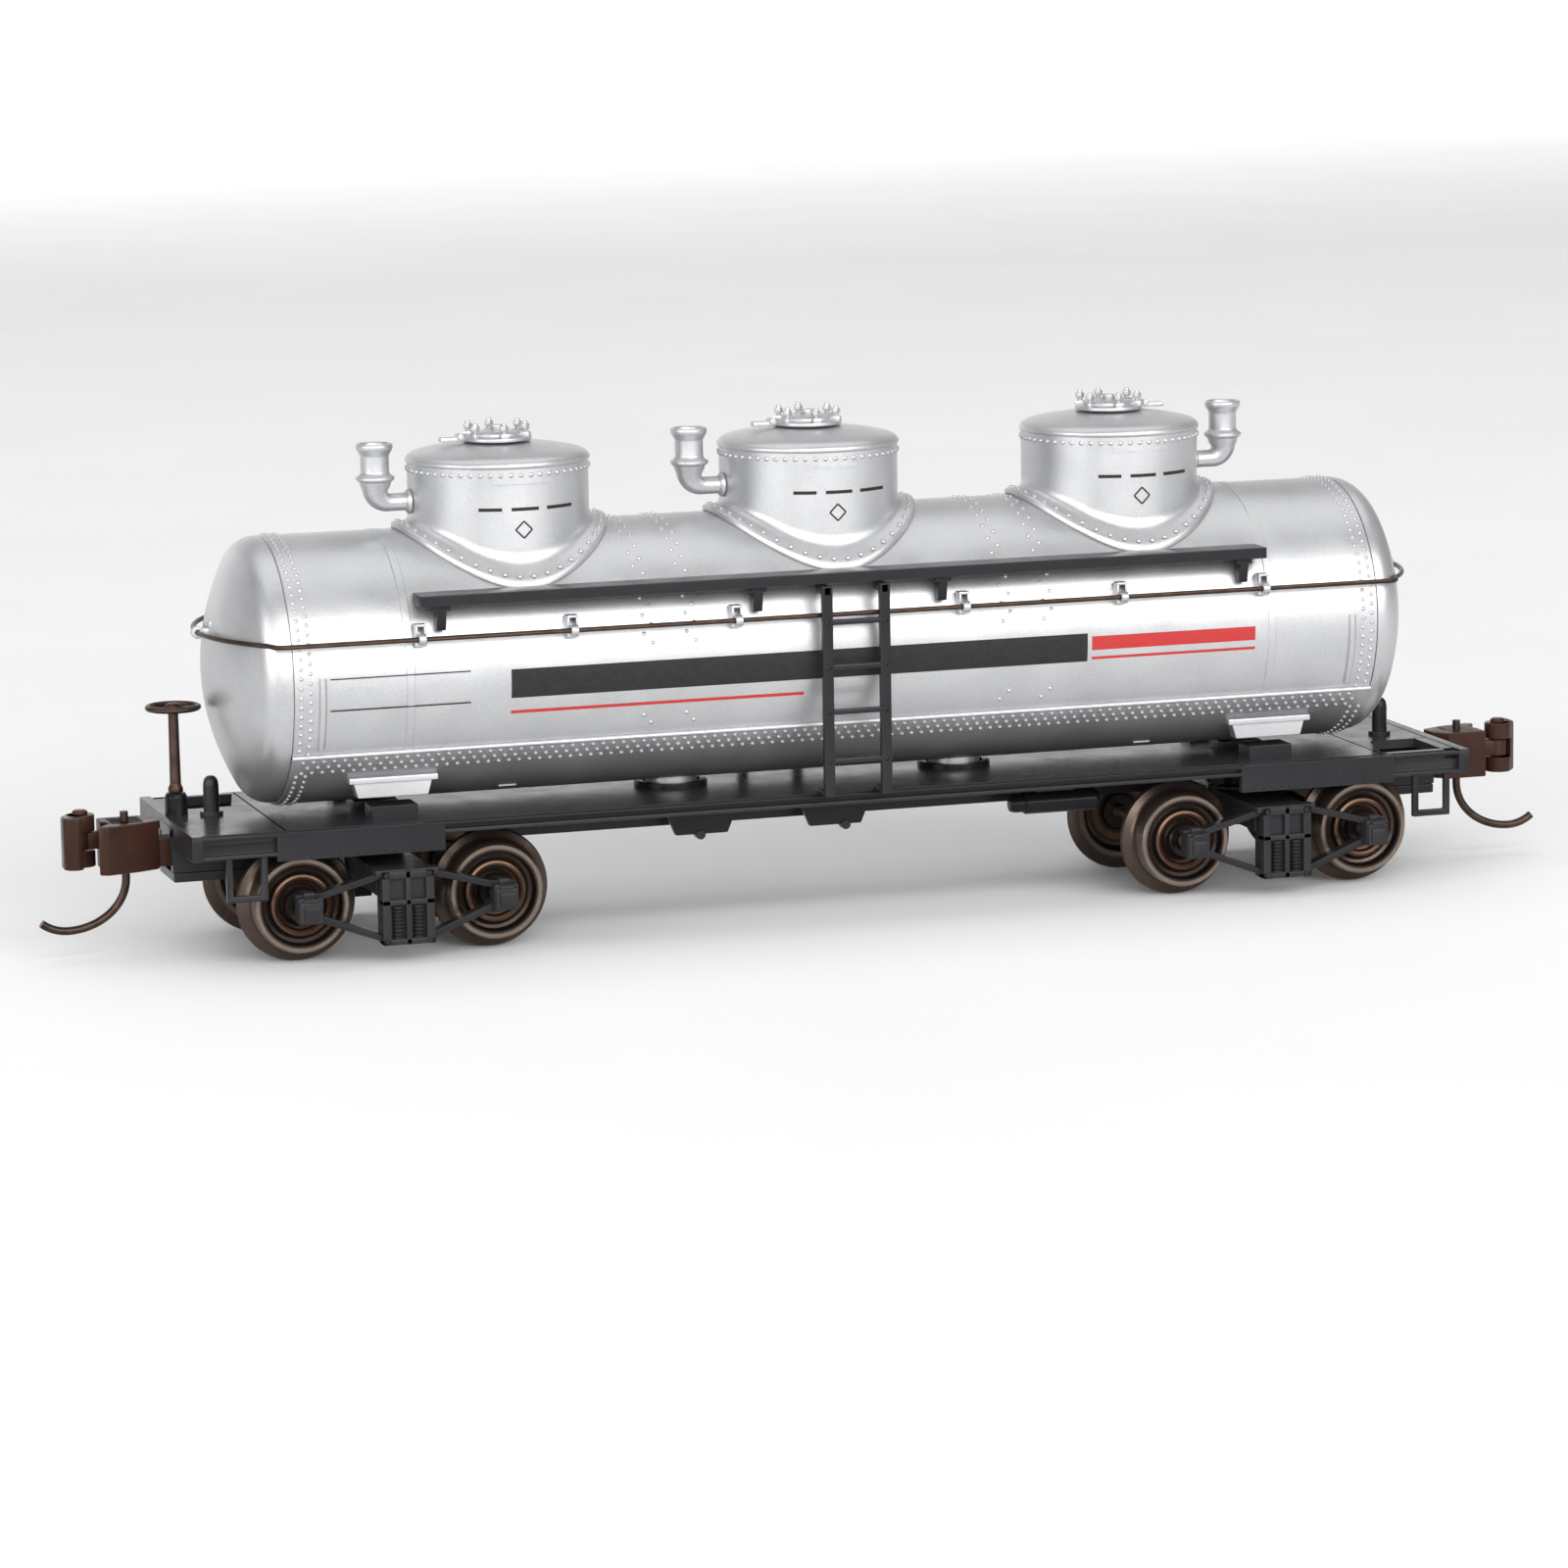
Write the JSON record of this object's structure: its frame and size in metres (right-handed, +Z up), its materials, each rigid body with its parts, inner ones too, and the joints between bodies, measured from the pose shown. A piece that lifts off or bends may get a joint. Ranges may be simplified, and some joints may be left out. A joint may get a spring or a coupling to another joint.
{
  "type": "model tank wagon",
  "caption": "Model railway tank wagon with three domes, side walkways and ladders, on two swivelling trucks with sprung knuckle couplers.",
  "frame": {"origin": "centre of the wagon on the plane of the wheel flanges' lowest points", "axes": "+X along the wagon towards the plain end, +Z up, the brake wheel stands at the -X end and the near side is -Y"},
  "size_m": [0.0856, 0.0162, 0.0275],
  "materials": {
    "silver_paint": "moulded plastic sprayed with a fine silver paint, satin",
    "black_plastic": "self-coloured black plastic, satin to glossy",
    "coupler_brown": "self-coloured dark reddish-brown plastic",
    "browned_wire": "chemically browned steel wire",
    "blackened_bronze": "blackened, turned and a little worn on the tread",
    "steel": "plain bright steel",
    "phosphor_bronze": "thin spring strip"
  },
  "bodies": {
    "wagon": {"underframe": "black_plastic", "tank_barrel": "silver_paint", "tank_belly": "silver_paint", "tank_head_plain_end": "silver_paint", "tank_head_brake_end": "silver_paint", "dome_brake_end": "silver_paint", "manway_cover_brake_end": "silver_paint", "vent_pipe_brake_end": "silver_paint", "dome_middle": "silver_paint", "manway_cover_middle": "silver_paint", "vent_pipe_middle": "silver_paint", "dome_plain_end": "silver_paint", "manway_cover_plain_end": "silver_paint", "vent_pipe_plain_end": "silver_paint", "handrail": "browned_wire", "walkway_near": "black_plastic", "ladder_near": "black_plastic", "walkway_far": "black_plastic", "ladder_far": "black_plastic", "weight_bar": "steel", "tank_screw_plain_end": "steel", "coupler_box_cover_plain_end": "black_plastic", "coupler_box_screw_plain_end": "steel", "centring_spring_plain_end": "phosphor_bronze", "truck_pin_plain_end": "black_plastic", "tank_screw_brake_end": "steel", "coupler_box_cover_brake_end": "black_plastic", "coupler_box_screw_brake_end": "steel", "centring_spring_brake_end": "phosphor_bronze", "truck_pin_brake_end": "black_plastic"},
    "truck_plain_end": {"truck_frame_plain_end": "black_plastic"},
    "wheelset_plain_end_outer": {"axle_plain_end_outer": "steel", "wheel_plain_end_outer_left": "blackened_bronze", "wheel_plain_end_outer_right": "blackened_bronze"},
    "wheelset_plain_end_inner": {"axle_plain_end_inner": "steel", "wheel_plain_end_inner_left": "blackened_bronze", "wheel_plain_end_inner_right": "blackened_bronze"},
    "coupler_plain_end": {"coupler_plain_end": "coupler_brown", "knuckle_pin_plain_end": "steel", "trip_pin_plain_end": "browned_wire"},
    "knuckle_plain_end": {"knuckle_plain_end": "coupler_brown"},
    "truck_brake_end": {"truck_frame_brake_end": "black_plastic"},
    "wheelset_brake_end_outer": {"axle_brake_end_outer": "steel", "wheel_brake_end_outer_left": "blackened_bronze", "wheel_brake_end_outer_right": "blackened_bronze"},
    "wheelset_brake_end_inner": {"axle_brake_end_inner": "steel", "wheel_brake_end_inner_left": "blackened_bronze", "wheel_brake_end_inner_right": "blackened_bronze"},
    "coupler_brake_end": {"coupler_brake_end": "coupler_brown", "knuckle_pin_brake_end": "steel", "trip_pin_brake_end": "browned_wire"},
    "knuckle_brake_end": {"knuckle_brake_end": "coupler_brown"},
    "brake_wheel": {"brake_wheel": "browned_wire"}
  },
  "joints": [
    {"name": "truck_swivel_plain_end", "type": "hinge", "parent": "wagon", "child": "truck_plain_end", "pos_m": [0.0247, 0, 0.0052], "axis": [0, 0, 1], "range_deg": [-10, 10]},
    {"name": "wheel_spin_plain_end_outer", "type": "hinge", "parent": "truck_plain_end", "child": "wheelset_plain_end_outer", "pos_m": [0.02995, 0, 0.0032], "axis": [0, 1, 0], "continuous": true},
    {"name": "wheel_spin_plain_end_inner", "type": "hinge", "parent": "truck_plain_end", "child": "wheelset_plain_end_inner", "pos_m": [0.01945, 0, 0.0032], "axis": [0, 1, 0], "continuous": true},
    {"name": "coupler_swing_plain_end", "type": "hinge", "parent": "wagon", "child": "coupler_plain_end", "pos_m": [0.0336, 0, 0.0056], "axis": [0, 0, 1], "range_deg": [-12, 12], "stiffness_Nm_per_rad": 0.00001},
    {"name": "knuckle_swing_plain_end", "type": "hinge", "parent": "coupler_plain_end", "child": "knuckle_plain_end", "pos_m": [0.0403, -0.00075, 0.0063], "axis": [0, 0, -1], "range_deg": [0, 35], "stiffness_Nm_per_rad": 0.000001},
    {"name": "truck_swivel_brake_end", "type": "hinge", "parent": "wagon", "child": "truck_brake_end", "pos_m": [-0.0247, 0, 0.0052], "axis": [0, 0, 1], "range_deg": [-10, 10]},
    {"name": "wheel_spin_brake_end_outer", "type": "hinge", "parent": "truck_brake_end", "child": "wheelset_brake_end_outer", "pos_m": [-0.02995, 0, 0.0032], "axis": [0, 1, 0], "continuous": true},
    {"name": "wheel_spin_brake_end_inner", "type": "hinge", "parent": "truck_brake_end", "child": "wheelset_brake_end_inner", "pos_m": [-0.01945, 0, 0.0032], "axis": [0, 1, 0], "continuous": true},
    {"name": "coupler_swing_brake_end", "type": "hinge", "parent": "wagon", "child": "coupler_brake_end", "pos_m": [-0.0336, 0, 0.0056], "axis": [0, 0, 1], "range_deg": [-12, 12], "stiffness_Nm_per_rad": 0.00001},
    {"name": "knuckle_swing_brake_end", "type": "hinge", "parent": "coupler_brake_end", "child": "knuckle_brake_end", "pos_m": [-0.0403, 0.00075, 0.0063], "axis": [0, 0, -1], "range_deg": [0, 35], "stiffness_Nm_per_rad": 0.000001},
    {"name": "brake_wheel_turn", "type": "hinge", "parent": "wagon", "child": "brake_wheel", "pos_m": [-0.0351, 0.0009, 0.0131], "axis": [0, 0, 1], "continuous": true}
  ]
}
